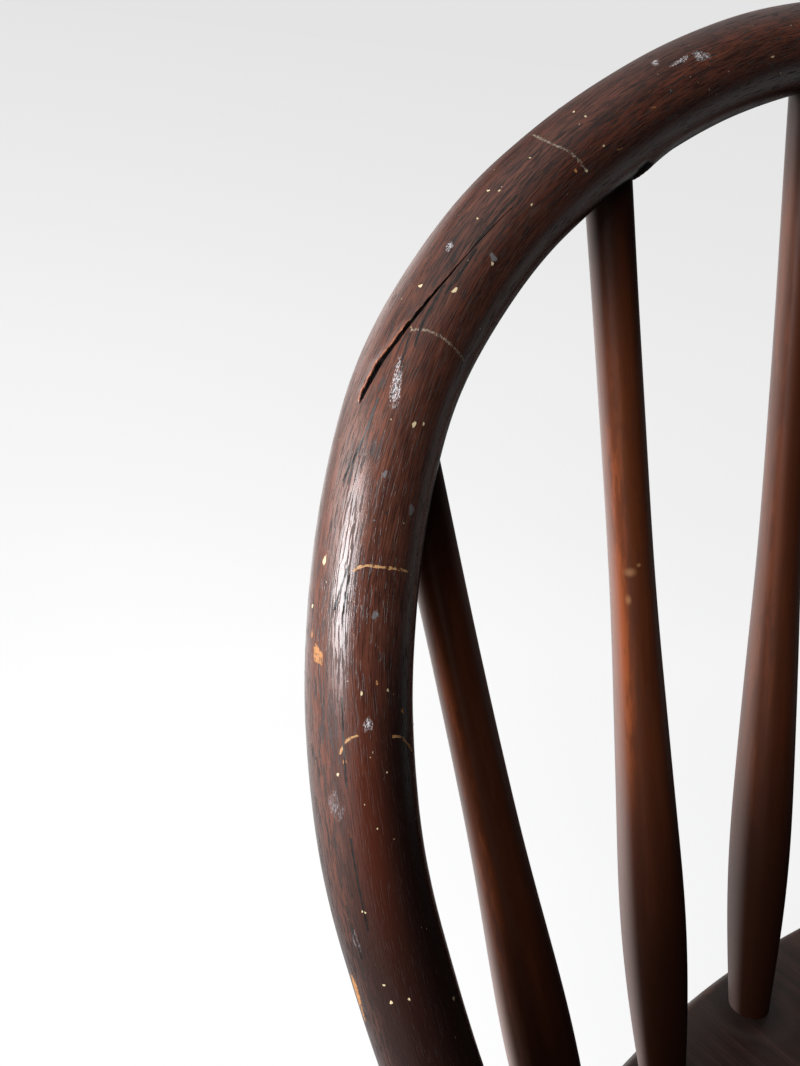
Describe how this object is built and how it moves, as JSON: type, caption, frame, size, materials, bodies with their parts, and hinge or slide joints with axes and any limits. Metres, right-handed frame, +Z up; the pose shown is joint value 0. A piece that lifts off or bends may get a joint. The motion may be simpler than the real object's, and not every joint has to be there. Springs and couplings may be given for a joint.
{
  "type": "rocking chair",
  "caption": "Low wooden rocking chair with a bent hoop back, turned spindles, a dished plank seat, splayed turned legs, stretchers and curved rockers.",
  "frame": {"origin": "on the floor, under the middle of the chair's outer box", "axes": "+Z up, the sitter faces -Y, +X to the right of someone looking at the chair from the front"},
  "size_m": [0.4796, 0.62, 0.7213],
  "materials": {
    "hoop_wood": "worn dark varnish",
    "spindle_wood": "worn dark varnish",
    "seat_wood": "worn dark varnish",
    "leg_wood": "worn dark varnish",
    "rocker_wood": "worn dark varnish",
    "wedge_wood": "worn dark varnish"
  },
  "bodies": {
    "root": {"hoop": "hoop_wood", "spindle_1": "spindle_wood", "spindle_2": "spindle_wood", "spindle_3": "spindle_wood", "spindle_4": "spindle_wood", "spindle_5": "spindle_wood", "spindle_6": "spindle_wood", "seat": "seat_wood", "leg_front_left": "leg_wood", "leg_front_right": "leg_wood", "leg_rear_left": "leg_wood", "leg_rear_right": "leg_wood", "stretcher_left": "leg_wood", "stretcher_right": "leg_wood", "stretcher_cross": "leg_wood", "rocker_left": "rocker_wood", "rocker_right": "rocker_wood", "hoop_wedges": "wedge_wood", "leg_wedges": "wedge_wood", "rocker_pegs": "wedge_wood"}
  },
  "joints": []
}
